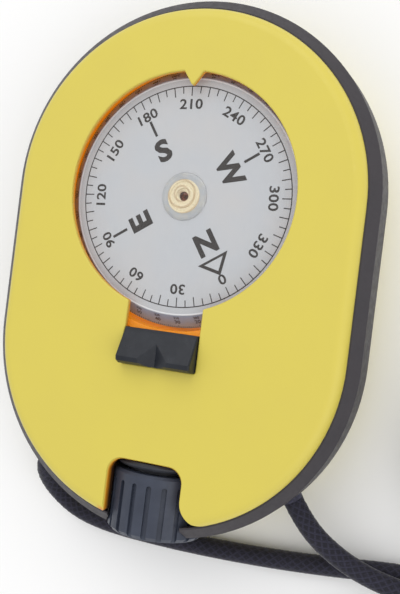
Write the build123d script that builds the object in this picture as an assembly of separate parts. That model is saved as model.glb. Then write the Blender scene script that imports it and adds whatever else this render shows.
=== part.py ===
from build123d import *
import os
from math import atan, atan2, cos, degrees, hypot, pi, radians, sin, tan

# Handheld sighting compass, millimetres. It lies on its back: +Z comes out of the dial face,
# +Y is the sighting direction and +X is to the right. The origin is the centre of the back.

# ---- case outline ----
END_RADIUS = 37.5            # half round ends of the rim band
STRAIGHT_HALF = 14.3         # half of the straight sides, and the height of the end centres
THICKNESS = 22.0
RIM_OVERHANG = 2.25          # how far the band stands out of the two shells
SHELL_RADIUS = END_RADIUS - RIM_OVERHANG
WALL = 2.2
PLATE = 2.0                  # floor and roof of the shells
EDGE_ROUND = 2.2             # rounded outer edge of the front shell
BACK_EDGE_ROUND = 2.0
BACK_TAPER = 9.0             # degrees, draft of the back shell below the band

# ---- rim band ----
BAND_TOP = 17.8
BAND_BOTTOM = 11.6
FLANGE_DROP = 2.0            # height of each sloping flange
FLANGE_LAND = 0.35
SPLIT_Z = (BAND_TOP + BAND_BOTTOM) / 2
FLANGE_LOW = BAND_BOTTOM - FLANGE_DROP

# ---- window, pointer and sight slot ----
CAPSULE_Y = 13.66
WINDOW_Y = 14.3              # the window is a little higher than the capsule
WINDOW_RADIUS = 22.95
LIP = 1.2                    # roof thickness over the capsule
POINTER_HALF = 2.04
POINTER_TIP_Y = 34.3
SLOT_HALF = 7.7
SLOT_END_Y = -19.4
CORNER_2D = 0.35             # corners of the openings seen from above
OPENING_ROUND = 0.3          # their rounded upper edges

# ---- capsule ----
CAPSULE_RADIUS = 27.2
CAPSULE_WALL = 1.3
LID_TOP = THICKNESS - LIP - 0.1
LID = 1.0
CAPSULE_FLOOR_Z = 8.2
CAPSULE_FLOOR = 1.3
GASKET = 0.3
CRADLE_RADIUS = 28.1

# ---- dial ----
DIAL_RADIUS = 22.9
DIAL_TOP = 19.05
DIAL_THICKNESS = 0.3
SKIRT_RADIUS = 25.2
SKIRT_LOW = 16.2
SKIRT_EDGE = 0.4
CUP_RADIUS = 3.3
HUB_RADIUS = 4.65
DIAL_READING = 213.0         # degrees in line with the pointer at rest

# ---- sight block ----
SIGHT_FOOT_Z = 19.4
SIGHT_SKIRT_Y = -14.45       # foot of the block, behind the capsule
SIGHT_NEAR_Y = -12.4         # low edge beside the window
SIGHT_RIDGE_Y = -17.9
SIGHT_RIDGE_Z = 25.1
SIGHT_FAR_Y = -19.3
SIGHT_GROOVE_Y = -14.9       # where the sighting groove starts
SIGHT_GROOVE_Z = 23.5
SIGHT_GROOVE_HALF = 7.2
SIGHT_GROOVE_RISE = 3.95
SIGHT_GROOVE_FALL = 0.1      # how far the groove drops over the block

# ---- eyepiece ----
BARREL_Z = 12.8
BARREL_RADIUS = 9.6
BARREL_START = -39.7
BARREL_END = -52.0
BARREL_CHAMFER = 0.8
BARREL_ROOM = 0.35           # radial room for the turning barrel in the case
COLLAR_RADIUS = 9.3
COLLAR_START = -37.7
COLLAR_END = -38.8
NOTCH_HALF = 7.6
NOTCH_TOP_Y = -37.5
NOTCH_CORNER = 3.0
MOUTH_RADIUS = 4.0
MOUTH_RADIUS_LEFT = 1.0
NOTCH_REACH = -STRAIGHT_HALF - END_RADIUS - 5.0
NOTCH_EASE = 0.5             # depth of the eased upper edge
HOUSING_RADIUS = 7.0
HOUSING_BORE = 6.2
HOUSING_START = -20.8
HOUSING_END = -48.0
RUNNING_FIT = 0.08
GROOVES = 20
GROOVE_WIDTH = 1.0
GROOVE_DEPTH = 0.65
GROOVE_START = -41.6

# ---- lanyard ----
CORD = 4.0
CORD_HOLE = 4.4
EXIT_X = 26.4                # where the two strands leave the rim band
EXIT_Y = -40.93
EXIT_Z = 11.0
EXIT_RUN = 3.4               # first straight, in line with the bore
BORE_SPLAY = 30.0            # degrees, each bore away from -Y in plan
BORE_DIP = 15.0              # degrees, each bore downwards
KNOT_RADIUS = 3.3
KNOT_DEPTH = 9.5             # knot centre, measured inwards from the rim
COIL_X = 74.0
COIL_Y = -29.5
COIL_OUTER_TURN = 24.5
COIL_INNER_TURN = 16.5
COIL_HEIGHT = 8.2
TIE = 1.2                    # thickness of the strap round the coil
TIE_WIDTH = 7.0

# Routes run from the rim of the case to the coil. The left strand lies on the floor, and the
# right strand comes down over it and stays on top of it up to the coil.
LEFT_ROUTE = [
    (-26.4, -40.93, 11.0),
    (-28.04, -43.77, 10.12),
    (-28.6, -47.2, 7.4),
    (-26.9, -51.2, 3.9),
    (-22.6, -54.4, 2.15),
    (-15.5, -55.8, 2.05),
    (-5.0, -56.2, 2.05),
    (8.0, -56.1, 2.05),
    (22.0, -55.4, 2.05),
    (35.0, -54.2, 2.05),
    (47.0, -52.7, 2.05),
    (60.0, -52.9, 2.05),
    (72.0, -54.3, 2.05),
]
RIGHT_ROUTE = [
    (26.4, -40.93, 11.0),
    (28.04, -43.77, 10.12),
    (31.4, -47.7, 9.1),
    (36.4, -51.4, 7.3),
    (42.6, -53.9, 6.35),
    (50.0, -55.0, 6.25),
    (61.0, -54.5, 6.2),
    (72.0, -53.7, 6.15),
]

SCREWS = [(17.3, 38.5), (-17.3, 38.5), (25.0, -20.0), (-25.0, -20.0)]
SCREW_RADIUS = 1.0
SCREW_HEAD = 1.7
BOSS_RADIUS = 2.05
SCREW_TOP = 18.6             # top of the blind screw holes
SCREW_SINK = 0.4             # screw heads below the back face


def bore_direction(side):
    """Unit vector out of a lanyard bore."""
    flat = cos(radians(BORE_DIP))
    return Vector(side * sin(radians(BORE_SPLAY)) * flat, -cos(radians(BORE_SPLAY)) * flat,
                  -sin(radians(BORE_DIP)))


def bore_exit(side):
    return Vector(side * EXIT_X, EXIT_Y, EXIT_Z)


def stadium(radius):
    """Outline of the case with the given half round ends."""
    return SlotOverall(2 * (STRAIGHT_HALF + radius), 2 * radius, rotation=90)


def slab(sketch, low, high):
    """A sketch on the XY plane raised into a plate between two heights."""
    return extrude(Pos(0, 0, low) * sketch, amount=high - low)


def disc(radius, low, high, x=0.0, y=0.0):
    return slab(Pos(x, y) * Circle(radius), low, high)


def capsule_turned(points):
    """A solid turned about the dial's axis from (radius, height) points."""
    profile = Plane.XZ * make_face(Polyline(*points, close=True))
    axis = Axis((0, CAPSULE_Y, 0), (0, 0, 1))
    return revolve(Pos(0, CAPSULE_Y, 0) * profile, axis=axis)


def barrel_turned(points):
    """A solid turned about the eyepiece's axis from (radius, y) points."""
    profile = Pos(0, 0, BARREL_Z) * make_face(Polyline(*points, close=True))
    return revolve(profile, axis=Axis((0, 0, BARREL_Z), (0, 1, 0)))


def barrel_cylinder(radius, start, end):
    return barrel_turned([(0, start), (radius, start), (radius, end), (0, end)])


def notch_side(side, mouth, grow):
    """One side of the opening over the eyepiece, from its flared mouth to its round inner corner."""
    half = NOTCH_HALF + grow
    top = NOTCH_TOP_Y + grow
    centre_x = NOTCH_HALF + mouth
    centre_y = -STRAIGHT_HALF - ((SHELL_RADIUS - mouth) ** 2 - centre_x ** 2) ** 0.5
    radius = mouth - grow
    out = Vector(centre_x, centre_y + STRAIGHT_HALF).normalized()
    touch = Vector(centre_x, centre_y) + out * radius
    middle_angle = (degrees(atan2(out.Y, out.X)) - 180) / 2
    bulge = Vector(centre_x, centre_y) + Vector(radius, 0).rotate(Axis.Z, middle_angle)
    inner = NOTCH_CORNER * cos(radians(45))
    return touch.X, [
        Line((side * touch.X, NOTCH_REACH), (side * touch.X, touch.Y)),
        ThreePointArc((side * touch.X, touch.Y), (side * bulge.X, bulge.Y), (side * half, centre_y)),
        Line((side * half, centre_y), (side * half, top - NOTCH_CORNER)),
        ThreePointArc(
            (side * half, top - NOTCH_CORNER),
            (side * (half - NOTCH_CORNER + inner), top - NOTCH_CORNER + inner),
            (side * (half - NOTCH_CORNER), top))]


def notch(grow=0.0):
    """Opening over the eyepiece, flared more on the right than on the left."""
    right, edges = notch_side(1, MOUTH_RADIUS, grow)
    left, left_edges = notch_side(-1, MOUTH_RADIUS_LEFT, grow)
    edges += left_edges
    edges.append(Line((-left, NOTCH_REACH), (right, NOTCH_REACH)))
    half = NOTCH_HALF + grow - NOTCH_CORNER
    edges.append(Line((half, NOTCH_TOP_Y + grow), (-half, NOTCH_TOP_Y + grow)))
    return make_face(edges)


def barrel_walls(radius):
    """Solid ground round the eyepiece, inside the case's outline at this radius."""
    half = BARREL_RADIUS + BARREL_ROOM + WALL
    top = NOTCH_TOP_Y + WALL
    low = -STRAIGHT_HALF - END_RADIUS
    return Pos(0, (top + low) / 2) * Rectangle(2 * half, top - low) & stadium(radius)


def barrel_room():
    return barrel_cylinder(BARREL_RADIUS + BARREL_ROOM, NOTCH_TOP_Y - 0.05, -60.0)


def lanyard_hole(side):
    """A straight bore through the rim at the cord's exit."""
    direction = bore_direction(side)
    start = bore_exit(side) - direction * KNOT_DEPTH
    return extrude(Plane(origin=start, z_dir=direction) * Circle(CORD_HOLE / 2),
                   amount=KNOT_DEPTH + EXIT_RUN)


def window():
    opening = Pos(0, WINDOW_Y) * Circle(WINDOW_RADIUS)
    slot_height = WINDOW_Y - SLOT_END_Y
    opening += Pos(0, (WINDOW_Y + SLOT_END_Y) / 2) * Rectangle(2 * SLOT_HALF, slot_height)
    top_y = WINDOW_Y + WINDOW_RADIUS
    base_y = top_y + 1
    base_half = POINTER_HALF * (base_y - POINTER_TIP_Y) / (top_y - POINTER_TIP_Y)
    pointer = make_face(Polyline(
        (-base_half, base_y), (base_half, base_y), (0, POINTER_TIP_Y), close=True))
    opening -= pointer
    return fillet(opening.vertices(), CORNER_2D)


def on_outer_edge(edge):
    """True for the flat top's own border, which is already rounded."""
    x, y = edge.center().X, edge.center().Y
    beyond = max(abs(y) - STRAIGHT_HALF, 0.0)
    return hypot(x, beyond) > SHELL_RADIUS - EDGE_ROUND - 1.0


def front_shell():
    shell = slab(stadium(SHELL_RADIUS), SPLIT_Z, THICKNESS)
    shell = fillet(shell.edges().group_by(Axis.Z)[-1], EDGE_ROUND)
    shell -= slab(stadium(SHELL_RADIUS - WALL), SPLIT_Z, THICKNESS - PLATE)
    shell += slab(barrel_walls(SHELL_RADIUS - WALL / 2), SPLIT_Z, THICKNESS - PLATE / 2)
    shell -= barrel_cylinder(HOUSING_RADIUS, HOUSING_START, NOTCH_TOP_Y - 0.1)
    for x, y in SCREWS:
        shell += disc(BOSS_RADIUS, SPLIT_Z, THICKNESS - PLATE, x, y)
        shell -= disc(SCREW_RADIUS, SPLIT_Z, SCREW_TOP, x, y)
    shell -= disc(CAPSULE_RADIUS + 0.2, SPLIT_Z, THICKNESS - LIP, 0, CAPSULE_Y)
    shell -= slab(window(), SPLIT_Z, THICKNESS)
    openings = [e for e in shell.edges().group_by(Axis.Z)[-1] if not on_outer_edge(e)]
    shell = fillet(openings, OPENING_ROUND)
    shell -= slab(notch(), SPLIT_Z, THICKNESS)
    eased = [Pos(0, 0, THICKNESS - NOTCH_EASE) * notch(), Pos(0, 0, THICKNESS) * notch(NOTCH_EASE / 2)]
    shell -= loft(eased, ruled=True)
    shell -= barrel_room()
    for side in (1, -1):
        shell -= lanyard_hole(side)
    return shell


def saddle(y):
    """A cross rib that carries the eyepiece housing."""
    return Pos(0, y, (PLATE + BARREL_Z) / 2) * Box(20.0, 2.0, BARREL_Z - PLATE)


def back_shell():
    foot_radius = SHELL_RADIUS - FLANGE_LOW * tan(radians(BACK_TAPER))
    shell = slab(stadium(SHELL_RADIUS), FLANGE_LOW, SPLIT_Z)
    shell += extrude(stadium(foot_radius), amount=FLANGE_LOW, taper=-BACK_TAPER)
    shell = fillet(shell.edges().group_by(Axis.Z)[0], BACK_EDGE_ROUND)
    shell -= slab(stadium(foot_radius - WALL), PLATE, FLANGE_LOW)
    shell -= slab(stadium(SHELL_RADIUS - WALL), FLANGE_LOW, SPLIT_Z)
    shell += slab(barrel_walls(foot_radius - WALL / 2), PLATE / 2, FLANGE_LOW)
    shell += slab(barrel_walls(SHELL_RADIUS - WALL / 2), FLANGE_LOW, SPLIT_Z)
    shell += saddle(-26.0)
    shell += saddle(-34.0)
    shell -= barrel_cylinder(HOUSING_RADIUS, HOUSING_START, NOTCH_TOP_Y - 0.1)
    for x, y in SCREWS:
        shell += disc(BOSS_RADIUS, PLATE / 2, SPLIT_Z, x, y)
        shell -= disc(SCREW_RADIUS, 0, SPLIT_Z, x, y)
        shell -= disc(SCREW_HEAD, 0, PLATE, x, y)
    shell -= barrel_room()
    for side in (1, -1):
        shell -= lanyard_hole(side)
    return shell


def rim_band():
    slope = degrees(atan((RIM_OVERHANG - FLANGE_LAND) / FLANGE_DROP))
    band = slab(stadium(END_RADIUS), BAND_BOTTOM, BAND_TOP)
    band += extrude(Pos(0, 0, BAND_TOP) * stadium(END_RADIUS), amount=FLANGE_DROP, taper=slope)
    band += extrude(Pos(0, 0, BAND_BOTTOM) * stadium(END_RADIUS), amount=-FLANGE_DROP, taper=slope)
    band -= slab(stadium(SHELL_RADIUS), FLANGE_LOW - 1, BAND_TOP + FLANGE_DROP + 1)
    band -= slab(Pos(0, -STRAIGHT_HALF - END_RADIUS) * Rectangle(2 * NOTCH_HALF, 20), 0, THICKNESS)
    band -= barrel_room()
    for side in (1, -1):
        band -= lanyard_hole(side)
    return band


def shell_screws():
    screws = []
    for x, y in SCREWS:
        screw = disc(SCREW_HEAD - 0.1, SCREW_SINK, PLATE, x, y)
        screw += disc(SCREW_RADIUS - 0.05, PLATE, SCREW_TOP - 0.6, x, y)
        screw -= Pos(x, y, SCREW_SINK) * Box(2.0, 0.5, 1.2)
        screw -= Pos(x, y, SCREW_SINK) * Box(0.5, 2.0, 1.2)
        screws.append(screw)
    return Compound(children=screws)


def sight_block():
    low_edge = THICKNESS + 0.1
    over_lid = LID_TOP + 0.2
    profile = make_face(Polyline(
        (SIGHT_SKIRT_Y, SIGHT_FOOT_Z), (SIGHT_SKIRT_Y, over_lid), (SIGHT_NEAR_Y, over_lid),
        (SIGHT_NEAR_Y, low_edge), (SIGHT_NEAR_Y - 0.5, low_edge + 0.35),
        (SIGHT_RIDGE_Y, SIGHT_RIDGE_Z), (SIGHT_FAR_Y + 0.5, SIGHT_RIDGE_Z - 0.2),
        (SIGHT_FAR_Y, SIGHT_RIDGE_Z - 1.2), (SIGHT_FAR_Y, SIGHT_FOOT_Z), close=True))
    half = SLOT_HALF - 0.1
    block = extrude(Plane.YZ * profile, amount=half, both=True)
    sides = [e for e in block.edges() if abs(abs(e.center().X) - half) < 0.01]
    block = fillet([e for e in sides if e.center().Z > THICKNESS + 0.3], 0.45)
    apex = (0, SIGHT_GROOVE_Y, SIGHT_GROOVE_Z)
    length = SIGHT_GROOVE_Y - SIGHT_FAR_Y
    run = Plane(origin=apex, x_dir=(1, 0, 0), z_dir=(0, -length, -SIGHT_GROOVE_FALL))
    groove = make_face(Polyline(
        (0, 0), (SIGHT_GROOVE_HALF, SIGHT_GROOVE_RISE),
        (-SIGHT_GROOVE_HALF, SIGHT_GROOVE_RISE), close=True))
    return block - extrude(run * groove, amount=8.0)


def reading_prism():
    profile = make_face(Polyline(
        (-14.0, 9.6), (-14.0, 19.2), (-17.2, 19.2), (-20.6, 15.8), (-20.6, 9.6), close=True))
    return extrude(Plane.YZ * profile, amount=4.6, both=True)


def optics_housing():
    housing = barrel_turned([
        (0, HOUSING_START), (HOUSING_RADIUS, HOUSING_START), (HOUSING_RADIUS, COLLAR_START),
        (COLLAR_RADIUS - 0.4, COLLAR_START), (COLLAR_RADIUS, COLLAR_START - 0.4),
        (COLLAR_RADIUS, COLLAR_END + 0.4), (COLLAR_RADIUS - 0.4, COLLAR_END),
        (HOUSING_RADIUS, COLLAR_END), (HOUSING_RADIUS, -44.4), (6.6, -44.4), (6.6, -45.6),
        (HOUSING_RADIUS, -45.6), (HOUSING_RADIUS, HOUSING_END), (0, HOUSING_END)])
    housing -= barrel_cylinder(4.6, HOUSING_START, HOUSING_END)
    housing -= barrel_cylinder(5.6, HOUSING_START, HOUSING_START - 1.6)
    housing -= barrel_cylinder(5.4, -33.0, HOUSING_END)
    return housing - barrel_cylinder(HOUSING_BORE, -39.4, HOUSING_END)


def reticle_plate():
    plate = barrel_cylinder(5.6, HOUSING_START - 0.2, HOUSING_START - 1.2)
    return plate - Pos(0, HOUSING_START - 0.2, BARREL_Z) * Box(0.12, 0.1, 9.0)


def field_lens():
    return barrel_turned([(0, -33.0), (5.4, -33.0), (5.4, -34.2), (3.6, -35.0), (1.8, -35.4),
                          (0, -35.5)])


def barrel_o_ring():
    return Plane(origin=(0, -45.0, BARREL_Z), z_dir=(0, 1, 0)) * Torus(6.93, 0.32)


def capsule_body():
    wall_top = LID_TOP - LID - GASKET
    inner = CAPSULE_RADIUS - CAPSULE_WALL
    floor_top = CAPSULE_FLOOR_Z + CAPSULE_FLOOR
    body = capsule_turned([
        (1.2, CAPSULE_FLOOR_Z), (CAPSULE_RADIUS, CAPSULE_FLOOR_Z), (CAPSULE_RADIUS, wall_top),
        (inner, wall_top), (inner, floor_top), (1.2, floor_top)])
    return body - disc(1.6, CAPSULE_FLOOR_Z, floor_top, 20.0, CAPSULE_Y)


def capsule_lid():
    inner = CAPSULE_RADIUS - CAPSULE_WALL
    bottom = LID_TOP - LID
    return capsule_turned([
        (0, LID_TOP), (CAPSULE_RADIUS, LID_TOP), (CAPSULE_RADIUS, bottom),
        (inner - 0.05, bottom), (inner - 0.05, bottom - 0.8), (inner - 0.6, bottom - 0.8),
        (inner - 0.6, bottom), (0, bottom)])


def capsule_gasket():
    inner = CAPSULE_RADIUS - CAPSULE_WALL
    top = LID_TOP - LID
    return disc(CAPSULE_RADIUS, top - GASKET, top, 0, CAPSULE_Y) - disc(
        inner, top - GASKET, top, 0, CAPSULE_Y)


def capsule_cradle():
    ledge = CAPSULE_FLOOR_Z
    cradle = capsule_turned([
        (23.0, ledge - 1.2), (CAPSULE_RADIUS + 0.1, ledge - 1.2), (CAPSULE_RADIUS + 0.1, PLATE),
        (CRADLE_RADIUS, PLATE), (CRADLE_RADIUS, 12.5), (CAPSULE_RADIUS + 0.1, 12.5),
        (CAPSULE_RADIUS + 0.1, ledge), (23.0, ledge)])
    return cradle - Pos(0, CAPSULE_Y - CAPSULE_RADIUS, 12.5) * Box(18.0, 6.0, 9.0)


def expansion_diaphragm():
    return capsule_turned([
        (2.2, CAPSULE_FLOOR_Z), (12.0, CAPSULE_FLOOR_Z), (12.0, 7.0), (10.4, 7.0),
        (9.4, 7.6), (8.0, 6.6), (6.6, 7.6), (5.2, 6.6), (3.8, 7.6), (2.2, 7.6)])


def filler_plug():
    plug = disc(1.6, CAPSULE_FLOOR_Z, CAPSULE_FLOOR_Z + 1.0, 20.0, CAPSULE_Y)
    return plug + disc(2.4, CAPSULE_FLOOR_Z - 0.8, CAPSULE_FLOOR_Z, 20.0, CAPSULE_Y)


def pivot_post():
    return capsule_turned([
        (0, 6.0), (2.0, 6.0), (2.0, CAPSULE_FLOOR_Z), (1.2, CAPSULE_FLOOR_Z), (1.2, 9.5),
        (2.4, 9.5), (2.4, 10.3), (1.5, 11.0), (1.2, 15.6), (0, 15.6)])


def pivot_needle():
    return capsule_turned([(0, 15.6), (0.35, 15.6), (0.35, 17.9), (0, 18.55)])


def dial_disc():
    bottom = DIAL_TOP - DIAL_THICKNESS
    return capsule_turned([
        (CUP_RADIUS, bottom), (DIAL_RADIUS, bottom), (DIAL_RADIUS, DIAL_TOP),
        (CUP_RADIUS, DIAL_TOP)])


def dial_skirt():
    bottom = DIAL_TOP - DIAL_THICKNESS
    return capsule_turned([
        (DIAL_RADIUS, DIAL_TOP), (SKIRT_RADIUS, SKIRT_LOW + SKIRT_EDGE),
        (SKIRT_RADIUS, SKIRT_LOW), (SKIRT_RADIUS - 0.4, SKIRT_LOW),
        (DIAL_RADIUS - 0.5, bottom), (DIAL_RADIUS, bottom)])


def dial_hub():
    return capsule_turned([
        (CUP_RADIUS, DIAL_TOP), (HUB_RADIUS, DIAL_TOP), (HUB_RADIUS - 0.1, DIAL_TOP + 0.25),
        (HUB_RADIUS - 0.5, DIAL_TOP + 0.4), (CUP_RADIUS, DIAL_TOP + 0.4)])


def jewel_cup():
    top = DIAL_TOP + 0.5
    return capsule_turned([
        (0.9, 17.4), (2.0, 17.4), (CUP_RADIUS, 18.4), (CUP_RADIUS, top - 0.1),
        (CUP_RADIUS - 0.1, top), (2.9, top), (2.8, top - 0.25), (2.2, top - 0.25),
        (2.1, top - 0.05), (1.6, top - 0.05), (1.5, top - 0.3), (0.9, top - 0.3)])


def jewel():
    return capsule_turned([
        (0, 18.62), (0.32, 18.3), (0.9, 18.3), (0.9, DIAL_TOP + 0.2), (0.5, DIAL_TOP + 0.3),
        (0, DIAL_TOP + 0.3)])


def dial_direction(reading):
    """Angle about +Z, from +X, of a printed reading when the dial is at rest."""
    return 90.0 - (reading - DIAL_READING)


def on_dial(angle):
    return Pos(0, CAPSULE_Y, 0) * Rot(0, 0, angle)


def bar_magnets():
    magnets = []
    for side in (1, -1):
        bar = Pos(0, side * 5.4, 17.85) * Box(27.0, 2.6, 1.8)
        magnets.append(on_dial(dial_direction(0)) * bar)
    return Compound(children=magnets)


def balance_weight():
    weight = Pos(18.2, 0, 18.35) * Box(2.0, 5.0, 0.8)
    return on_dial(dial_direction(180)) * weight


def lens_cell():
    outer = HOUSING_BORE - RUNNING_FIT
    return barrel_turned([
        (4.4, -41.6), (outer, -41.6), (outer, -51.2), (5.4, -51.2), (5.2, -50.0),
        (5.2, -46.0), (4.4, -45.4)])


def eye_lens():
    return barrel_turned([(0, -45.0), (2.2, -45.15), (4.0, -45.75), (4.5, -46.0), (5.2, -46.0),
                          (5.2, -47.8), (4.5, -48.0), (4.0, -48.2), (2.2, -48.8), (0, -48.95)])


def lens_retainer():
    return barrel_turned([(4.6, -48.2), (5.2, -47.8), (5.2, -50.0), (4.6, -49.6)])


def focus_barrel():
    end = BARREL_END
    bore = HOUSING_RADIUS + 0.3
    lip = HOUSING_BORE
    barrel = barrel_turned([
        (bore, BARREL_START), (BARREL_RADIUS - 0.5, BARREL_START),
        (BARREL_RADIUS, BARREL_START - 0.5), (BARREL_RADIUS, end + BARREL_CHAMFER),
        (BARREL_RADIUS - BARREL_CHAMFER, end), (7.4, end), (lip, end + 0.9), (lip, -49.9),
        (bore, -49.9)])
    length = GROOVE_START - end + 1
    cutter = Pos(BARREL_RADIUS, GROOVE_START - length / 2, 0) * Box(
        2 * GROOVE_DEPTH, length, GROOVE_WIDTH)
    ends = cutter.edges().filter_by(Axis.X).group_by(Axis.Y)[-1]
    cutter = fillet(ends, GROOVE_WIDTH / 2 - 0.02)
    for i in range(GROOVES):
        angle = (i + 0.5) * 360 / GROOVES
        barrel -= Pos(0, 0, BARREL_Z) * Rot(0, angle, 0) * cutter
    return barrel


def lanyard_knot(side):
    """The cord's end inside the case: a short straight through the bore and its stopper knot."""
    direction = bore_direction(side)
    centre = bore_exit(side) - direction * KNOT_DEPTH
    stem = extrude(Plane(origin=centre, z_dir=direction) * Circle(CORD / 2), amount=KNOT_DEPTH)
    return stem + Pos(*centre) * Sphere(KNOT_RADIUS)


def corner_radii(points):
    """Largest arc for each corner that leaves a tenth of the shorter run straight."""
    radii = []
    for a, b, c in zip(points, points[1:], points[2:]):
        before = Vector(*b) - Vector(*a)
        after = Vector(*c) - Vector(*b)
        turn = radians(before.get_angle(after))
        radii.append(0.45 * min(before.length, after.length) / tan(turn / 2))
    return radii


def cord_tube(name, points):
    radii = corner_radii(points)
    path = FilletPolyline(*points, radius=radii)
    tube = sweep(Plane(origin=path @ 0, z_dir=path % 0) * Circle(CORD / 2), path=path)
    expected = pi * (CORD / 2) ** 2 * path.length
    print(name, "radii", [round(r, 1) for r in radii])
    print(name, "length", round(path.length, 1), "volume", round(tube.volume, 1),
          "section x length", round(expected, 1))
    return tube


def lanyard_coil():
    outer = COIL_OUTER_TURN + CORD / 2
    inner = COIL_INNER_TURN - CORD / 2
    ring = disc(outer, 0, COIL_HEIGHT, COIL_X, COIL_Y)
    return ring - disc(inner, 0, COIL_HEIGHT, COIL_X, COIL_Y)


def coil_tie():
    """A flat strap once round the coil's section, on its far side."""
    middle = (COIL_OUTER_TURN + COIL_INNER_TURN) / 2
    span = COIL_OUTER_TURN - COIL_INNER_TURN + CORD
    strap = Pos(COIL_X + middle, COIL_Y, (COIL_HEIGHT + TIE) / 2) * Box(
        span + 2 * TIE, TIE_WIDTH, COIL_HEIGHT + TIE)
    return strap - lanyard_coil()


NODES = {
    "front_shell": front_shell, "back_shell": back_shell, "rim_band": rim_band,
    "shell_screws": shell_screws, "sight_block": sight_block, "reading_prism": reading_prism,
    "optics_housing": optics_housing, "reticle_plate": reticle_plate, "field_lens": field_lens,
    "barrel_o_ring": barrel_o_ring, "capsule_body": capsule_body, "capsule_lid": capsule_lid,
    "capsule_gasket": capsule_gasket, "capsule_cradle": capsule_cradle,
    "expansion_diaphragm": expansion_diaphragm, "filler_plug": filler_plug,
    "pivot_post": pivot_post, "pivot_needle": pivot_needle, "dial_disc": dial_disc,
    "dial_skirt": dial_skirt, "dial_hub": dial_hub, "jewel_cup": jewel_cup, "jewel": jewel,
    "bar_magnets": bar_magnets, "balance_weight": balance_weight, "lens_cell": lens_cell,
    "eye_lens": eye_lens, "lens_retainer": lens_retainer, "focus_barrel": focus_barrel,
    "lanyard_knot_left": lambda: lanyard_knot(-1), "lanyard_knot_right": lambda: lanyard_knot(1),
    "lanyard_left": lambda: cord_tube("lanyard_left", LEFT_ROUTE) - lanyard_coil(),
    "lanyard_right": lambda: cord_tube("lanyard_right", RIGHT_ROUTE) - lanyard_coil(),
    "lanyard_coil": lanyard_coil, "coil_tie": coil_tie,
}

os.makedirs("parts", exist_ok=True)
for name, build in NODES.items():
    export_step(build(), f"parts/{name}.step")
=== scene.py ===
from math import ceil, cos, degrees, hypot, pi, radians, sin

import bmesh
import bpy
from mathutils import Euler, Matrix, Vector


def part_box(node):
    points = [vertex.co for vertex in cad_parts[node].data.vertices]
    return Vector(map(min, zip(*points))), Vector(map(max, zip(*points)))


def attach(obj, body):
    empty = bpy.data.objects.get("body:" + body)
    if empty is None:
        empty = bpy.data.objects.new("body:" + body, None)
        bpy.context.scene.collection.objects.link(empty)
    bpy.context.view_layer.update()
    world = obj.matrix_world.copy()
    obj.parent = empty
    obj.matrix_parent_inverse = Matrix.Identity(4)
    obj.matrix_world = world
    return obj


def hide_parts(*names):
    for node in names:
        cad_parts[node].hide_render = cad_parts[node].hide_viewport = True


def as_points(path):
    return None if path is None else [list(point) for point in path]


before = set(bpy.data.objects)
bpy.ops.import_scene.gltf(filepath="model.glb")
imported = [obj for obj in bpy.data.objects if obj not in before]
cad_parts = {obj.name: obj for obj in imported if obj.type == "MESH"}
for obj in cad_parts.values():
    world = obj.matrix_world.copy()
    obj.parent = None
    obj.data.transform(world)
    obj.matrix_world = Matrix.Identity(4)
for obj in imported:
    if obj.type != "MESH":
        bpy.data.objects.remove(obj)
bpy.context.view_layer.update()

MM = 0.001


# ---------------------------------------------------------------- camera

def add_camera():
    data = bpy.data.cameras.new("camera")
    data.lens = 54.3
    data.sensor_width = 36.0
    data.clip_start = 0.01
    camera = bpy.data.objects.new("camera", data)
    camera.location = Vector((67.09, -5.08, 177.24)) * MM
    camera.rotation_euler = Euler((0.04773, 0.36704, 0.13256))
    bpy.context.scene.collection.objects.link(camera)
    bpy.context.scene.camera = camera


add_camera()


# ---------------------------------------------------------------- mesh helpers

def add_piece(name, mesh, body, material=None, smooth=True):
    """A new piece that rides on a body and takes a material slot's finish."""
    piece = bpy.data.objects.new(name, mesh)
    bpy.context.scene.collection.objects.link(piece)
    for face in mesh.polygons:
        face.use_smooth = smooth
    if material is not None:
        mesh.materials.append(material)
    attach(piece, body)
    return piece


def mesh_from(name, points, faces):
    mesh = bpy.data.meshes.new(name)
    mesh.from_pydata([tuple(p) for p in points], [], faces)
    mesh.update()
    return mesh


# ---------------------------------------------------------------- the cord's line

CORD = 4.0
LEFT_ROUTE = [
    (-26.4, -40.93, 11.0),
    (-28.04, -43.77, 10.12),
    (-28.6, -47.2, 7.4),
    (-26.9, -51.2, 3.9),
    (-22.6, -54.4, 2.15),
    (-15.5, -55.8, 2.05),
    (-5.0, -56.2, 2.05),
    (8.0, -56.1, 2.05),
    (22.0, -55.4, 2.05),
    (35.0, -54.2, 2.05),
    (47.0, -52.7, 2.05),
    (60.0, -52.9, 2.05),
]
RIGHT_ROUTE = [
    (26.4, -40.93, 11.0),
    (28.04, -43.77, 10.12),
    (31.4, -47.7, 9.1),
    (36.4, -51.4, 7.3),
    (42.6, -53.9, 6.35),
    (50.0, -55.0, 6.25),
    (61.0, -54.5, 6.2),
]
COIL_X = 74.0
COIL_Y = -29.5
COIL_TURNS = (24.5, 20.5, 16.5)   # radius of each turn, from outside in
LAYER_LOW = 2.05
LAYER_HIGH = 6.15
TURN_POINTS = 16
STEP_SHARE = 0.2                  # part of a turn in which the cord steps to the next one
TIE_LIFT = 0.62                   # the strap under the coil raises it this much
TIE_REACH = 17.0                  # degrees


def smoothstep(t):
    t = min(max(t, 0.0), 1.0)
    return t * t * (3 - 2 * t)


def turn_radius(turns):
    """Radius after a number of turns: round turns with a short step between them."""
    index = min(int(turns), len(COIL_TURNS) - 1)
    following = min(index + 1, len(COIL_TURNS) - 1)
    step = smoothstep((turns - index - 1 + STEP_SHARE) / STEP_SHARE)
    return COIL_TURNS[index] + step * (COIL_TURNS[following] - COIL_TURNS[index])


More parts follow.
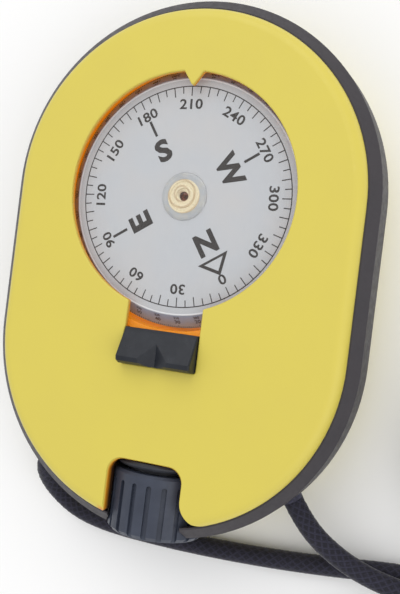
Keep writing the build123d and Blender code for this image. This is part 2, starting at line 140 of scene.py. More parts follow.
def lift(angle, x):
    """How far the strap under the coil raises the cord, on its side at +X."""
    off = (degrees(angle) + 180) % 360 - 180
    return TIE_LIFT * (1 - smoothstep((abs(off) - TIE_REACH / 2) / TIE_REACH)) if x > COIL_X else 0.0


def coil_layer(turns, height):
    """Control points of one layer, wound inwards from the side where the cord arrives."""
    points = []
    for i in range(int(turns * TURN_POINTS) + 1):
        share = i / TURN_POINTS
        angle = -pi / 2 + 2 * pi * share
        radius = turn_radius(share) / cos(pi / TURN_POINTS)
        x = COIL_X + radius * cos(angle)
        points.append((x, COIL_Y + radius * sin(angle), height + lift(angle, x)))
    return points


def coil_crossing():
    """The cord's way across the coil's middle, from the lower layer to the upper one."""
    radius = COIL_TURNS[-1] / 2
    steps = 8
    points = []
    for i in range(1, steps):
        angle = -pi / 2 + pi * i / steps
        points.append((COIL_X + radius * 1.02 * cos(angle),
                       COIL_Y - radius + radius * 1.02 * sin(angle), LAYER_LOW))
    for i in range(1, steps):
        angle = -pi / 2 - pi * i / steps
        height = LAYER_LOW + (LAYER_HIGH - LAYER_LOW) * smoothstep(i / steps * 1.3 - 0.15)
        points.append((COIL_X + radius * 1.02 * cos(angle),
                       COIL_Y + radius + radius * 1.02 * sin(angle), height))
    return points


def cord_route():
    lower = coil_layer(3.0, LAYER_LOW)
    upper = coil_layer(2.5, LAYER_HIGH)
    route = LEFT_ROUTE + lower + coil_crossing() + upper[::-1] + RIGHT_ROUTE[::-1]
    return [Vector(p) * MM for p in route]


def spline_line(points):
    """The points along a smooth NURBS spline with these control points."""
    curve = bpy.data.curves.new("cord_route", "CURVE")
    curve.dimensions = "3D"
    curve.resolution_u = 20
    spline = curve.splines.new("NURBS")
    spline.points.add(len(points) - 1)
    for control, place in zip(spline.points, points):
        control.co = (*place, 1.0)
    spline.order_u = 3
    spline.use_endpoint_u = True
    holder = bpy.data.objects.new("cord_route", curve)
    mesh = bpy.data.meshes.new_from_object(holder)
    line = [v.co.copy() for v in mesh.vertices]
    bpy.data.objects.remove(holder)
    bpy.data.curves.remove(curve)
    bpy.data.meshes.remove(mesh)
    return line


def evenly(line, step):
    """The same line as points an equal distance apart."""
    total = sum((b - a).length for a, b in zip(line, line[1:]))
    count = ceil(total / step)
    step = total / count
    points = [line[0].copy()]
    walked = 0.0
    for a, b in zip(line, line[1:]):
        length = (b - a).length
        while length > 0 and len(points) * step <= walked + length and len(points) < count:
            points.append(a.lerp(b, (len(points) * step - walked) / length))
        walked += length
    points.append(line[-1].copy())
    return points, total


def carried_frames(points):
    """A tangent, side and up vector at each point, without twist."""
    frames = []
    side = None
    for i, point in enumerate(points):
        ahead = points[min(i + 1, len(points) - 1)]
        behind = points[max(i - 1, 0)]
        tangent = (ahead - behind).normalized()
        if side is None:
            side = tangent.cross(Vector((0, 0, 1))).normalized()
        side = (side - tangent * side.dot(tangent)).normalized()
        frames.append((point, tangent, side, tangent.cross(side)))
    return frames


# ---------------------------------------------------------------- the braided cord

CARRIERS = 8                      # strands of the braid that run each way
PICK = 0.95 * MM                  # distance along the cord from one crossing to the next
CORD_STEP = 0.3 * MM
AROUND = 24
BRAID_DEPTH = 0.22 * MM


def braid_height(around, along):
    """Height of the braid, 0 to 1, at a share of the way round and a distance along."""
    a = around * CARRIERS + along / (2 * PICK)
    b = around * CARRIERS - along / (2 * PICK)
    over_a = 0.5 + 0.5 * cos(2 * pi * (a - round(a))) * cos(pi * (b + round(a)))
    over_b = 0.5 + 0.5 * cos(2 * pi * (b - round(b))) * cos(pi * (a + round(b)) + pi)
    return max(over_a, over_b)


def braided_tube(points):
    """A tube along the line with the braid's strands as its surface."""
    verts = []
    faces = []
    frames = carried_frames(points)
    radius = CORD / 2 * MM
    for row, (point, _, side, up) in enumerate(frames):
        along = row * CORD_STEP
        for col in range(AROUND):
            share = col / AROUND
            depth = BRAID_DEPTH * (1 - braid_height(share, along))
            angle = 2 * pi * share
            verts.append(point + (side * cos(angle) + up * sin(angle)) * (radius - depth))
    for row in range(len(frames) - 1):
        for col in range(AROUND):
            after = (col + 1) % AROUND
            faces.append((row * AROUND + col, row * AROUND + after,
                          (row + 1) * AROUND + after, (row + 1) * AROUND + col))
    first_cap = tuple(range(AROUND))[::-1]
    last_row = (len(frames) - 1) * AROUND
    faces.append(first_cap)
    faces.append(tuple(last_row + col for col in range(AROUND)))
    mesh = mesh_from("lanyard_cord", verts, faces)
    layer = mesh.uv_layers.new(name="braid")
    for face in mesh.polygons:
        columns = [mesh.loops[i].vertex_index % AROUND for i in face.loop_indices]
        wraps = AROUND - 1 in columns and 0 in columns
        for loop, col in zip(face.loop_indices, columns):
            row = mesh.loops[loop].vertex_index // AROUND
            share = 1.0 if wraps and col == 0 else col / AROUND
            layer.data[loop].uv = (share, row * CORD_STEP / (2 * PICK))
    return mesh


# ---------------------------------------------------------------- materials

def srgb(red, green, blue):
    """A linear colour from 0 to 255 display values."""
    linear = [(c / 255 / 12.92 if c <= 10 else ((c / 255 + 0.055) / 1.055) ** 2.4)
              for c in (red, green, blue)]
    return (*linear, 1.0)


class Finish:
    """A material whose nodes are added around one Principled shader."""

    def __init__(self, name, colour, roughness, **sockets):
        self.material = bpy.data.materials.new(name)
        self.material.use_nodes = True
        self.tree = self.material.node_tree
        self.shader = self.tree.nodes["Principled BSDF"]
        self.colour = colour
        self.shader.inputs["Base Color"].default_value = colour
        self.shader.inputs["Roughness"].default_value = roughness
        for socket, value in sockets.items():
            self.shader.inputs[socket.replace("_", " ")].default_value = value
        self.place = self.node("ShaderNodeTexCoord").outputs["Object"]

    def node(self, kind, **settings):
        made = self.tree.nodes.new(kind)
        for key, value in settings.items():
            setattr(made, key, value)
        return made

    def link(self, source, target):
        self.tree.links.new(source, target)

    def math(self, operation, first, second=0.0, clamp=False):
        made = self.node("ShaderNodeMath", operation=operation, use_clamp=clamp)
        for socket, value in zip(made.inputs, (first, second)):
            if isinstance(value, (int, float)):
                socket.default_value = value
            else:
                self.link(value, socket)
        return made.outputs[0]

    def stretched(self, x, y, z):
        mapping = self.node("ShaderNodeMapping")
        mapping.inputs["Scale"].default_value = (x, y, z)
        self.link(self.place, mapping.inputs["Vector"])
        return mapping.outputs["Vector"]

    def noise(self, size, detail=2.0, vector=None):
        """Noise with features of about this size in metres."""
        made = self.node("ShaderNodeTexNoise")
        made.inputs["Scale"].default_value = 1 / size if vector is None else 1.0
        made.inputs["Detail"].default_value = detail
        self.link(self.place if vector is None else vector, made.inputs["Vector"])
        return made.outputs["Fac"]

    def ramp(self, value, low, high, out_low=0.0, out_high=1.0):
        made = self.node("ShaderNodeMapRange")
        for socket, number in zip(("From Min", "From Max", "To Min", "To Max"),
                                  (low, high, out_low, out_high)):
            made.inputs[socket].default_value = number
        self.link(value, made.inputs["Value"])
        return made.outputs["Result"]

    def tint(self, factor, colour):
        """Mixes a colour over what the base colour is so far."""
        mix = self.node("ShaderNodeMix", data_type="RGBA")
        base = self.shader.inputs["Base Color"]
        if base.is_linked:
            self.link(base.links[0].from_socket, mix.inputs["A"])
        else:
            mix.inputs["A"].default_value = self.colour
        mix.inputs["B"].default_value = colour
        self.link(factor, mix.inputs["Factor"])
        self.link(mix.outputs["Result"], base)

    def roughness(self, value, low, high):
        self.link(self.ramp(value, 0.3, 0.7, low, high), self.shader.inputs["Roughness"])

    def bump(self, height, distance, strength=1.0):
        made = self.node("ShaderNodeBump")
        made.inputs["Distance"].default_value = distance
        made.inputs["Strength"].default_value = strength
        self.link(height, made.inputs["Height"])
        normal = self.shader.inputs["Normal"]
        if normal.is_linked:
            self.link(normal.links[0].from_socket, made.inputs["Normal"])
        self.link(made.outputs["Normal"], normal)


YELLOW = srgb(213, 197, 84)
# colours of the painted shade in the shell's openings: orange, then dark further down
YELLOW_PAINTED_SHADE = srgb(220, 140, 22)
YELLOW_PAINTED_DEEP_SHADE = srgb(62, 40, 22)
NOTCH_SIDE = 8.6 * MM
NOTCH_INNER_Y = -36.0 * MM


def yellow_plastic():
    """Moulded yellow with a fine satin grain, and painted shade, orange to dark, down in its
    openings.
    """
    finish = Finish("yellow_plastic", YELLOW, 0.42, Specular_IOR_Level=0.45)
    finish.tint(finish.ramp(finish.noise(9 * MM), 0.35, 0.7, 0.0, 0.35), srgb(209, 192, 86))
    finish.tint(finish.ramp(finish.noise(0.5 * MM, 4), 0.62, 0.8, 0.0, 0.2), srgb(199, 181, 80))
    parts = finish.node("ShaderNodeSeparateXYZ")
    finish.link(finish.place, parts.inputs["Vector"])
    across = finish.math("ABSOLUTE", parts.outputs["X"])
    past = finish.math("SUBTRACT", finish.math("ABSOLUTE", parts.outputs["Y"]), STRAIGHT_HALF)
    past = finish.math("MAXIMUM", past, 0.0)
    squares = finish.math("ADD", finish.math("MULTIPLY", across, across),
                          finish.math("MULTIPLY", past, past))
    inside = finish.ramp(finish.math("SQRT", squares), 30.5 * MM, 33.0 * MM, 1.0, 0.0)
    # painted shade: the walls of the openings in the front shell turn orange below its top face
    opening_shade = finish.ramp(parts.outputs["Z"], SHELL_TOP - 0.12 * MM, SHELL_TOP - 1.1 * MM)
    front = finish.ramp(parts.outputs["Z"], SPLIT_Z, SPLIT_Z + 0.6 * MM)
    opening_shade = finish.math("MULTIPLY", opening_shade, front)
    finish.tint(finish.math("MULTIPLY", inside, opening_shade), YELLOW_PAINTED_SHADE)
    # painted shade at the eyepiece notch: orange just below the top face, dark further down
    beside = finish.ramp(across, NOTCH_SIDE, NOTCH_SIDE + 0.8 * MM, 1.0, 0.0)
    beside = finish.math("MULTIPLY", beside, front)
    notch_shade = finish.math("MULTIPLY", beside,
                           finish.ramp(parts.outputs["Y"], NOTCH_INNER_Y, NOTCH_INNER_Y - 0.8 * MM))
    warm = finish.ramp(parts.outputs["Z"], SHELL_TOP - 0.15 * MM, SHELL_TOP - 0.7 * MM)
    dark = finish.ramp(parts.outputs["Z"], SHELL_TOP - 0.7 * MM, SHELL_TOP - 2.0 * MM)
    finish.tint(finish.math("MULTIPLY", notch_shade, warm), YELLOW_PAINTED_SHADE)
    finish.tint(finish.math("MULTIPLY", notch_shade, dark), YELLOW_PAINTED_DEEP_SHADE)
    finish.roughness(finish.noise(1.4 * MM, 3), 0.36, 0.5)
    finish.bump(finish.noise(0.16 * MM, 1), 0.012 * MM, 0.6)
    return finish.material


def black_rubber():
    finish = Finish("rim_rubber", srgb(58, 54, 58), 0.5, Specular_IOR_Level=0.4)
    finish.tint(finish.ramp(finish.noise(6 * MM), 0.35, 0.7, 0.0, 0.5), srgb(50, 48, 52))
    finish.tint(finish.ramp(finish.noise(0.35 * MM, 4), 0.64, 0.8, 0.0, 0.3), srgb(84, 82, 84))
    finish.roughness(finish.noise(0.9 * MM, 3), 0.42, 0.6)
    finish.bump(finish.noise(0.2 * MM, 2), 0.02 * MM, 0.7)
    return finish.material


def dark_plastic(name, colour, worn, rough=0.42, grain=0.18):
    """Moulded dark plastic with a satin grain and slightly lighter scuffs."""
    finish = Finish(name, colour, rough, Specular_IOR_Level=0.3)
    finish.tint(finish.ramp(finish.noise(4 * MM), 0.4, 0.7, 0.0, 0.4), worn)
    finish.tint(finish.ramp(finish.noise(0.3 * MM, 5), 0.66, 0.8, 0.0, 0.35), worn)
    finish.roughness(finish.noise(0.7 * MM, 3), rough - 0.07, rough + 0.1)
    finish.bump(finish.noise(grain * MM, 2), 0.015 * MM, 0.6)
    return finish.material


LID_GLOSS_LOW = 0.012             # share of light mirrored when seen square on
LID_GLOSS_HIGH = 0.4              # and when seen along the surface
LID_GLOSS_POWER = 4.0


def clear_lid():
    """Polished clear acrylic: what is under it, with the room's light on it."""
    material = bpy.data.materials.new("clear_lid")
    material.use_nodes = True
    tree = material.node_tree
    tree.nodes.clear()
    output = tree.nodes.new("ShaderNodeOutputMaterial")
    mix = tree.nodes.new("ShaderNodeMixShader")
    facing = tree.nodes.new("ShaderNodeLayerWeight")
    grazing = tree.nodes.new("ShaderNodeMath")
    grazing.operation = "POWER"
    grazing.inputs[1].default_value = LID_GLOSS_POWER
    gloss_share = tree.nodes.new("ShaderNodeMapRange")
    gloss_share.inputs["To Min"].default_value = LID_GLOSS_LOW
    gloss_share.inputs["To Max"].default_value = LID_GLOSS_HIGH
    clear = tree.nodes.new("ShaderNodeBsdfTransparent")
    clear.inputs["Color"].default_value = (0.99, 0.99, 0.985, 1.0)
    gloss = tree.nodes.new("ShaderNodeBsdfGlossy")
    gloss.inputs["Color"].default_value = (1.0, 1.0, 1.0, 1.0)
    place = tree.nodes.new("ShaderNodeTexCoord")
    smear = tree.nodes.new("ShaderNodeTexNoise")
    smear.inputs["Scale"].default_value = 1 / (7 * MM)
    spread = tree.nodes.new("ShaderNodeMapRange")
    spread.inputs["To Min"].default_value = 0.03
    spread.inputs["To Max"].default_value = 0.1
    tree.links.new(place.outputs["Object"], smear.inputs["Vector"])
    tree.links.new(smear.outputs["Fac"], spread.inputs["Value"])
    tree.links.new(spread.outputs["Result"], gloss.inputs["Roughness"])
    tree.links.new(facing.outputs["Facing"], grazing.inputs[0])
    tree.links.new(grazing.outputs[0], gloss_share.inputs["Value"])
    tree.links.new(gloss_share.outputs["Result"], mix.inputs["Fac"])
    tree.links.new(clear.outputs["BSDF"], mix.inputs[1])
    tree.links.new(gloss.outputs["BSDF"], mix.inputs[2])
    tree.links.new(mix.outputs["Shader"], output.inputs["Surface"])
    return material


def clear_hub():
    """The clear ring round the dial's cup, milky in patches."""
    finish = Finish("clear_hub", srgb(222, 226, 232), 0.12, Coat_Weight=0.6, Alpha=0.55)
    finish.tint(finish.ramp(finish.noise(1.2 * MM), 0.4, 0.7, 0.0, 0.5), srgb(246, 240, 226))
    finish.bump(finish.noise(0.6 * MM), 0.02 * MM, 0.4)
    return finish.material


def dial_metal():
    """Matt silver with a fine straight brush and faint warmer patches."""
    finish = Finish("dial_silver", srgb(194, 197, 203), 0.55, Metallic=0.0,
                    Specular_IOR_Level=0.4)
    brushed = finish.noise(1.0, 3, finish.stretched(9000, 700, 700))
    finish.tint(finish.ramp(brushed, 0.35, 0.65, 0.0, 0.5), srgb(186, 189, 196))
    finish.tint(finish.ramp(finish.noise(11 * MM), 0.4, 0.7, 0.0, 0.5), srgb(200, 197, 197))
    finish.roughness(brushed, 0.45, 0.65)
    finish.bump(brushed, 0.006 * MM, 0.5)
    return finish.material


def skirt_metal():
    finish = Finish("skirt_silver", srgb(150, 172, 204), 0.4)
    finish.tint(finish.ramp(finish.noise(3 * MM, 3), 0.4, 0.7, 0.0, 0.6), srgb(138, 156, 186))
    finish.roughness(finish.noise(0.8 * MM), 0.3, 0.5)
    finish.bump(finish.noise(0.3 * MM), 0.01 * MM, 0.5)
    return finish.material


AMBER_PAINTED_GLOW = 0.4                  # painted glow: emission standing in for light that comes through the yellow shell from outside


def amber_plastic(name, rough):
    """The capsule's tinted wall and its seal, with a painted glow, darker towards the bottom."""
    # painted glow: the emission makes the amber parts shine as if lit through the shell
    finish = Finish(name, srgb(236, 148, 20), rough, Specular_IOR_Level=0.5,
                    Emission_Color=srgb(226, 138, 18), Emission_Strength=AMBER_PAINTED_GLOW)
    parts = finish.node("ShaderNodeSeparateXYZ")
    finish.link(finish.place, parts.inputs["Vector"])
    low = finish.ramp(parts.outputs["Z"], 15.0 * MM, 10.0 * MM)
    finish.tint(low, srgb(176, 92, 24))
    finish.tint(finish.ramp(finish.noise(5 * MM, 3), 0.4, 0.7, 0.0, 0.4), srgb(206, 120, 40))
    finish.bump(finish.noise(0.8 * MM), 0.02 * MM, 0.4)
    return finish.material


def metal(name, colour, rough, brush=0.2):
    """Turned or ground metal with fine marks."""
    finish = Finish(name, colour, rough, Metallic=1.0)
    finish.tint(finish.ramp(finish.noise(1.5 * MM, 4), 0.45, 0.75, 0.0, 0.4),
                (*[c * 0.6 for c in colour[:3]], 1.0))
    finish.roughness(finish.noise(brush * MM, 3), rough * 0.7, min(rough * 1.4, 1.0))
    finish.bump(finish.noise(brush * MM, 2), 0.008 * MM, 0.5)
    return finish.material


def turned_cup():
    """Cream golden cup with brown turning rings and a dark middle."""
    finish = Finish("cup_cream", srgb(232, 220, 190), 0.3, Metallic=0.1)
    offset = finish.node("ShaderNodeVectorMath", operation="DISTANCE")
    finish.link(finish.place, offset.inputs[0])
    offset.inputs[1].default_value = (DIAL_CENTRE.x - 0.5 * MM, DIAL_CENTRE.y + 0.5 * MM, DIAL_TOP)
    away = offset.outputs["Value"]
    rings = finish.math("SINE", finish.math("MULTIPLY", away, 2 * pi / (1.2 * MM)))
    finish.tint(finish.ramp(rings, 0.1, 1.0, 0.0, 0.5), srgb(168, 132, 92))
    finish.tint(finish.ramp(away, 1.2 * MM, 0.3 * MM, 0.0, 0.6), srgb(140, 112, 90))
    finish.roughness(finish.noise(0.3 * MM, 3), 0.22, 0.4)
    finish.bump(rings, 0.03 * MM, 0.5)
    return finish.material


def lens_glass(name, colour, rough):
    finish = Finish(name, colour, rough, IOR=1.5, Transmission_Weight=0.9)
    finish.roughness(finish.noise(2 * MM, 3), rough, rough + 0.05)
    finish.bump(finish.noise(3 * MM), 0.005 * MM, 0.2)
    return finish.material


def braid_fabric():
    """Navy braid with a painted highlight on the strands where they stand proud, and fine filaments.
    """
    finish = Finish("navy_braid", srgb(30, 29, 39), 0.78, Sheen_Weight=0.2,
                    Sheen_Roughness=0.4, Specular_IOR_Level=0.3)
    turned = finish.node("ShaderNodeUVMap", uv_map="braid").outputs["UV"]
    parts = finish.node("ShaderNodeSeparateXYZ")
    finish.link(turned, parts.inputs["Vector"])
    around = finish.math("MULTIPLY", parts.outputs["X"], 2 * pi * CARRIERS)
    along = finish.math("MULTIPLY", parts.outputs["Y"], 2 * pi)
    one_way = finish.math("COSINE", finish.math("ADD", around, along))
    other_way = finish.math("COSINE", finish.math("SUBTRACT", around, along))
    proud = finish.math("MAXIMUM", one_way, other_way)
    # painted highlight on the raised strands, painted shade between them
    finish.tint(finish.ramp(proud, 0.2, 1.0, 0.0, 0.65), srgb(52, 51, 68))
    filament = finish.math("SINE", finish.math("ADD", finish.math("MULTIPLY", around, 3.0),
                                               finish.math("MULTIPLY", along, 3.0)))
    finish.tint(finish.ramp(filament, 0.2, 1.0, 0.0, 0.35), srgb(20, 19, 28))
    finish.tint(finish.ramp(finish.noise(0.5 * MM, 4), 0.55, 0.8, 0.0, 0.5), srgb(64, 63, 84))
    finish.bump(filament, 0.03 * MM, 0.6)
    finish.bump(finish.noise(0.12 * MM, 3), 0.03 * MM, 0.7)
    return finish.material


def plain_cord_fabric():
    """The same cord where it lies hidden in the case."""
    finish = Finish("navy_cord_end", srgb(44, 43, 60), 0.8, Sheen_Weight=0.3)
    weave = finish.noise(0.5 * MM, 3)
    finish.tint(finish.ramp(weave, 0.45, 0.7, 0.0, 0.6), srgb(72, 72, 98))
    finish.bump(weave, 0.15 * MM, 0.8)
    return finish.material


def strap_fabric():
    finish = Finish("strap_weave", srgb(34, 34, 38), 0.85, Sheen_Weight=0.3)
    weave = finish.node("ShaderNodeTexChecker")
    weave.inputs["Scale"].default_value = 1 / (0.35 * MM)
    finish.link(finish.place, weave.inputs["Vector"])
    finish.tint(finish.ramp(weave.outputs["Fac"], 0.0, 1.0, 0.0, 0.5), srgb(58, 58, 64))
    finish.tint(finish.ramp(finish.noise(0.6 * MM, 3), 0.55, 0.8, 0.0, 0.4), srgb(80, 80, 86))
    finish.bump(finish.noise(0.2 * MM, 3), 0.06 * MM, 0.8)
    return finish.material


def print_ink(name, colour):
    finish = Finish(name, colour, 0.6)
    finish.tint(finish.ramp(finish.noise(0.25 * MM, 3), 0.55, 0.75, 0.0, 0.3),
                (*[min(c * 1.9 + 0.03, 1.0) for c in colour[:3]], 1.0))
    return finish.material


# ---------------------------------------------------------------- sizes used by the materials

SHELL_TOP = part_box("front_shell")[1].z
SPLIT_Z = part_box("front_shell")[0].z
STRAIGHT_HALF = 14.3 * MM
dial_low, dial_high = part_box("dial_disc")
DIAL_CENTRE = (dial_low + dial_high) / 2
DIAL_TOP = dial_high.z


# ---------------------------------------------------------------- finishes of the CAD nodes

FINISHES = {
    yellow_plastic(): ["front_shell", "back_shell"],
    black_rubber(): ["rim_band"],
    dark_plastic("block_plastic", srgb(29, 32, 39), srgb(44, 48, 55), 0.34): ["sight_block"],
    dark_plastic("barrel_plastic", srgb(56, 61, 74), srgb(74, 80, 95), 0.36): ["focus_barrel"],
    dark_plastic("housing_plastic", srgb(46, 48, 54), srgb(70, 72, 80), 0.5):
        ["optics_housing", "capsule_cradle", "lens_cell", "lens_retainer"],
    dark_plastic("seal_rubber", srgb(34, 34, 36), srgb(56, 56, 60), 0.7, 0.3):
        ["barrel_o_ring", "expansion_diaphragm"],
    clear_lid(): ["capsule_lid"],
    amber_plastic("capsule_amber", 0.3): ["capsule_body"],
    amber_plastic("seal_amber", 0.6): ["capsule_gasket"],
    dial_metal(): ["dial_disc"],
    skirt_metal(): ["dial_skirt"],
    clear_hub(): ["dial_hub"],
    turned_cup(): ["jewel_cup"],
    metal("cup_brass", srgb(222, 190, 128), 0.28): [
        "pivot_post", "filler_plug", "balance_weight"],
    metal("ground_steel", srgb(150, 150, 154), 0.35): ["bar_magnets", "pivot_needle"],
    metal("black_steel", srgb(84, 84, 88), 0.42): ["shell_screws"],
    lens_glass("jewel_stone", srgb(150, 110, 90), 0.08): ["jewel"],
    lens_glass("optical_glass", srgb(240, 244, 246), 0.02): [
        "reading_prism", "reticle_plate", "field_lens", "eye_lens"],
    plain_cord_fabric(): ["lanyard_knot_left", "lanyard_knot_right"],
}

for material, nodes in FINISHES.items():
    for node in nodes:
        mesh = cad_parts[node].data
        mesh.materials.clear()
        mesh.materials.append(material)


# ---------------------------------------------------------------- cord and tie

def add_cord():
    points, total = evenly(spline_line(cord_route()), CORD_STEP)
    cord = add_piece("lanyard_cord", braided_tube(points), "case", braid_fabric())
    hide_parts("lanyard_left", "lanyard_right", "lanyard_coil")
    return cord, points, total


TIE_WIDTH = 7.0
TIE_THICK = 0.55
TIE_CORNER = 2.2


def strap_path(low_r, high_r, low_z, high_z):
    """Once round the coil's section as (radius, height) points, with rounded corners."""
    path = []
    corners = [(high_r, low_z, -90), (high_r, high_z, 0), (low_r, high_z, 90), (low_r, low_z, 180)]
    for r, z, start in corners:
        inward_r = -1 if r == high_r else 1
        inward_z = 1 if z == low_z else -1
        for i in range(7):
            angle = radians(start + 90 * i / 6)
            path.append((r + inward_r * TIE_CORNER + TIE_CORNER * cos(angle),
                         z + inward_z * TIE_CORNER + TIE_CORNER * sin(angle)))
    return path


def add_tie():
    """A hook tape once round the coil, its end lapped over on top."""
    tie_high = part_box("coil_tie")[1]
    half_thick = TIE_THICK / 2
    path = strap_path(COIL_TURNS[-1] - CORD / 2 - 0.5, tie_high.x / MM - COIL_X - half_thick - 0.3,
                      half_thick + 0.02, tie_high.z / MM - half_thick - 0.55)
    lap = [(r, z + TIE_THICK + 0.04) for r, z in path[13:15]]
    lap = [(lap[0][0] + 1.6, lap[0][1]), lap[0], (lap[1][0] - 1.4, lap[1][1])]
    verts = []
    faces = []

    def band(section_path, closed, width):
        base = len(verts)
        across = (-width / 2, -width / 2 + 0.25, width / 2 - 0.25, width / 2)
        count = len(section_path)
        for i, (r, z) in enumerate(section_path):
            before = section_path[(i - 1) % count if closed else max(i - 1, 0)]
            after = section_path[(i + 1) % count if closed else min(i + 1, count - 1)]
            run = Vector((after[0] - before[0], after[1] - before[1])).normalized()
            out = Vector((run.y, -run.x))
            for sign in (1, -1):
                for k, w in enumerate(across):
                    thin = 0.6 if k in (0, 3) else 1.0
                    offset = out * half_thick * sign * thin
                    verts.append(Vector((COIL_X + r + offset.x, COIL_Y + w, z + offset.y)) * MM)
        ring = 2 * len(across)
        order = [0, 1, 2, 3, 7, 6, 5, 4]
        for i in range(count if closed else count - 1):
            j = (i + 1) % count
            for k in range(ring):
                a, b = order[k], order[(k + 1) % ring]
                faces.append((base + i * ring + a, base + j * ring + a,
                              base + j * ring + b, base + i * ring + b))
        if not closed:
            faces.append(tuple(base + k for k in order))
            faces.append(tuple(base + (count - 1) * ring + k for k in reversed(order)))

    band(path, True, TIE_WIDTH)
    band(lap, False, TIE_WIDTH - 0.4)
    tie = add_piece("coil_strap", mesh_from("coil_strap", verts, faces), "case",
                    strap_fabric())
    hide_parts("coil_tie")
    return tie


cord, cord_points, cord_length = add_cord()
tie = add_tie()
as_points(cord_points)
print("cord length", round(cord_length, 4))


# ---------------------------------------------------------------- dial print

DIAL_READING = 213.0              # degrees in line with the pointer at rest
INK = 0.02 * MM


def reading_angle(reading):
    """Angle about +Z, from +X, of a printed reading."""
    return radians(90.0 - (reading - DIAL_READING))


class Print:
    """Flat printed shapes gathered into one mesh."""

    def __init__(self):
        self.bm = bmesh.new()

    def outline(self, points, place):
        """A closed flat shape, raised by the ink's thickness."""
        low = [self.bm.verts.new(place(Vector((p[0], p[1], 0)) * MM)) for p in points]
        high = [self.bm.verts.new(place(Vector((p[0], p[1], 0)) * MM + Vector((0, 0, INK))))
                for p in points]
        self.bm.faces.new(low[::-1])
        self.bm.faces.new(high)
        for i in range(len(points)):
            j = (i + 1) % len(points)
            self.bm.faces.new((low[i], low[j], high[j], high[i]))

    def ring(self, inner, outer, place, count=180):
        rows = []
        for radius, height in ((inner, 0), (outer, 0), (outer, INK), (inner, INK)):
            rows.append([self.bm.verts.new(place(Vector((
                radius * MM * cos(2 * pi * i / count), radius * MM * sin(2 * pi * i / count),
                height)))) for i in range(count)])
        for row in range(4):
            other = (row + 1) % 4
            for i in range(count):
                j = (i + 1) % count
                self.bm.faces.new((rows[row][i], rows[row][j], rows[other][j], rows[other][i]))

    def text(self, words, height, place, widen=1.0, bold=0.0, spacing=1.0):
        """Lettering with this cap height in millimetres, centred on its own origin."""
        font = bpy.data.curves.new("lettering", "FONT")
        font.body = words
        font.size = 1.0
        font.offset = bold
        font.space_character = spacing
        font.resolution_u = 3
        holder = bpy.data.objects.new("lettering", font)
        flat = bpy.data.meshes.new_from_object(holder)
        xs = [v.co.x for v in flat.vertices]
        ys = [v.co.y for v in flat.vertices]
        size = height / (max(ys) - min(ys))
        middle = Vector(((max(xs) + min(xs)) / 2, (max(ys) + min(ys)) / 2, 0))
        layer = bmesh.new()
        layer.from_mesh(flat)
        bmesh.ops.remove_doubles(layer, verts=layer.verts, dist=1e-5)
        raised = bmesh.ops.extrude_face_region(layer, geom=layer.faces[:])
        for item in raised["geom"]:
            if isinstance(item, bmesh.types.BMVert):
                item.co.z = 1.0
        for vert in layer.verts:
            local = (vert.co - middle) * size * MM
            vert.co = place(Vector((local.x * widen, local.y, vert.co.z * INK)))
        done = bpy.data.meshes.new("lettering")
        layer.to_mesh(done)
        layer.free()
        self.bm.from_mesh(done)
        bpy.data.objects.remove(holder)
        bpy.data.curves.remove(font)
        bpy.data.meshes.remove(flat)
        bpy.data.meshes.remove(done)

    def mesh(self, name):
        bmesh.ops.recalc_face_normals(self.bm, faces=self.bm.faces)
        made = bpy.data.meshes.new(name)
        self.bm.to_mesh(made)
        self.bm.free()
        return made


def on_dial(reading, radius):
    """Places a print at a reading and radius, with its top outwards."""
    angle = reading_angle(reading)
    centre = Vector((DIAL_CENTRE.x, DIAL_CENTRE.y, DIAL_TOP - INK / 4))
    spot = centre + Vector((cos(angle), sin(angle), 0)) * radius * MM
    turn = Matrix.Rotation(angle - pi / 2, 4, "Z")
    return lambda point: spot + turn @ point


def bar(half_width, low, high):
    return [(-half_width, low), (half_width, low), (half_width, high), (-half_width, high)]


RING_RADIUS = 21.3
NUMBER_RADIUS = 17.85
LETTER_RADIUS = 10.2


def dial_print():
    """Ring line, ticks, degree numbers, the four letters and the north arrow."""
    ink = Print()
    ink.ring(RING_RADIUS - 0.1, RING_RADIUS + 0.1, on_dial(0, 0))
    for reading in range(0, 360, 5):
        length = 1.85 if reading % 10 == 0 else 1.35
        ink.outline(bar(0.1, -length, 0.0), on_dial(reading, RING_RADIUS))
    for reading in range(0, 360, 30):
        ink.text(str(reading), 2.0, on_dial(reading, NUMBER_RADIUS), 1.16, 0.022, 1.04)
    for reading, letter in ((0, "N"), (90, "E"), (180, "S"), (270, "W")):
        widen = 1.12 if letter in "SE" else 0.98
        ink.text(letter, 4.5, on_dial(reading, LETTER_RADIUS), widen, 0.04)
    for reading in (90, 180, 270):
        ink.outline(bar(0.26, 13.4, 16.7), on_dial(reading, 0))
    base, tip, half = 13.4, 17.0, 3.3
    corners = [(-half, base), (half, base), (0, tip)]
    middle = Vector((0, (2 * base + tip) / 3))
    inner = [middle + (Vector(c) - middle) * 0.62 for c in corners]
    for i in range(3):
        j = (i + 1) % 3
        ink.outline([corners[i], corners[j], inner[j], inner[i]], on_dial(0, 0))
    return ink.mesh("dial_print")


add_piece("dial_print", dial_print(), "dial", print_ink("dial_ink", srgb(52, 48, 48)),
          smooth=False)


EDGE_INNER = 22.55
EDGE_OUTER = 22.8


def edge_line():
    """A painted highlight: the bright edge of the dial where it catches the light."""
    line = Print()
    line.ring(EDGE_INNER, EDGE_OUTER, on_dial(0, 0))
    return line.mesh("dial_edge_highlight")


# painted highlight along the dial's edge, as a near-white ring of ink
add_piece("dial_edge_highlight", edge_line(), "dial",
          print_ink("painted_highlight_white", srgb(226, 228, 232)), smooth=False)


# ---------------------------------------------------------------- print on the dial's skirt

skirt_low, skirt_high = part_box("dial_skirt")
SKIRT_TOP_RADIUS = 22.9
SKIRT_TOP_Z = skirt_high.z / MM
SKIRT_FOOT_RADIUS = (skirt_high.x - skirt_low.x) / 2 / MM
SKIRT_FOOT_Z = skirt_low.z / MM + 0.4


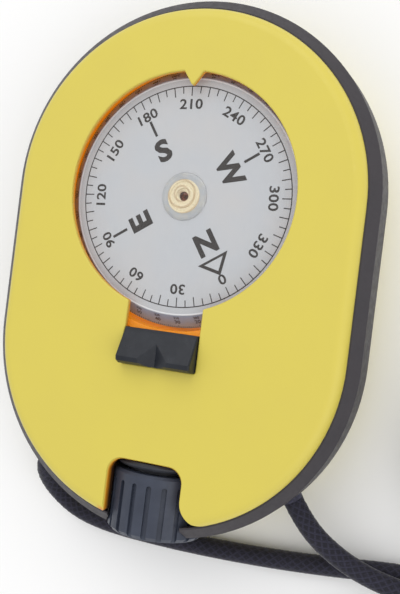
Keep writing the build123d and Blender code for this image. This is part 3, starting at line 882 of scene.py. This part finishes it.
def on_skirt(reading, share):
    """Places a print on the cone at a share of its slope, 0 at the top edge."""
    angle = reading_angle(reading)
    fall = SKIRT_TOP_Z - SKIRT_FOOT_Z
    spread = SKIRT_FOOT_RADIUS - SKIRT_TOP_RADIUS
    slope = hypot(fall, spread)

    def place(point):
        down = share * slope - point.y / MM
        radius = SKIRT_TOP_RADIUS + spread * down / slope
        height = SKIRT_TOP_Z - fall * down / slope
        turn = angle + point.x / MM / radius
        proud = point.z / MM + 0.004
        radius += proud * fall / slope
        height += proud * spread / slope
        return Vector((DIAL_CENTRE.x / MM + radius * cos(turn),
                       DIAL_CENTRE.y / MM + radius * sin(turn), height)) * MM

    return place


SKIRT_TICK_HALF = 0.05
SKIRT_LARGE_ROW = 0.52            # places of the two rows of numbers down the slope
SKIRT_SMALL_ROW = 0.2


def skirt_print():
    """Fine degree ticks at the foot of the skirt and two rows of small numbers."""
    ink = Print()
    for reading in range(0, 360):
        length = 0.7 if reading % 10 == 0 else 0.6 if reading % 5 == 0 else 0.45
        ink.outline(bar(SKIRT_TICK_HALF, 0.0, length), on_skirt(reading, 1.0))
    for reading in range(0, 360, 10):
        ink.text(str(reading), 0.9, on_skirt(reading, SKIRT_LARGE_ROW), 1.0, 0.02)
        ink.text(str((reading + 180) % 360), 0.6, on_skirt(reading, SKIRT_SMALL_ROW), 1.0, 0.02)
    return ink.mesh("skirt_print")


add_piece("skirt_print", skirt_print(), "dial",
          print_ink("skirt_ink", srgb(52, 48, 56)), smooth=False)


# ---------------------------------------------------------------- floor and light

def add_floor():
    mesh = mesh_from("floor", [(-3, -3, 0), (3, -3, 0), (3, 3, 0), (-3, 3, 0)], [(0, 1, 2, 3)])
    floor = bpy.data.objects.new("floor", mesh)
    floor.location.z = -0.0002
    bpy.context.scene.collection.objects.link(floor)
    finish = Finish("floor", (0.93, 0.93, 0.93, 1.0), 0.9)
    mesh.materials.append(finish.material)


def add_softbox(name, place, aim, size, power):
    light = bpy.data.lights.new(name, "AREA")
    light.shape = "RECTANGLE"
    light.size, light.size_y = size
    light.energy = power
    lamp = bpy.data.objects.new(name, light)
    lamp.location = place
    lamp.rotation_euler = (Vector(aim) - Vector(place)).to_track_quat("-Z", "Y").to_euler()
    bpy.context.scene.collection.objects.link(lamp)


def add_light():
    world = bpy.data.worlds.new("studio")
    world.use_nodes = True
    world.node_tree.nodes["Background"].inputs["Color"].default_value = (1.0, 1.0, 1.0, 1.0)
    world.node_tree.nodes["Background"].inputs["Strength"].default_value = 0.85
    bpy.context.scene.world = world
    add_softbox("key", (-0.1, 0.75, 0.75), (0, 0, 0), (0.9, 0.9), 3.2)
    add_softbox("fill", (0.7, -0.3, 0.6), (0, 0, 0), (0.8, 0.8), 1.8)


add_floor()
add_light()
bpy.context.scene.view_settings.view_transform = "Standard"
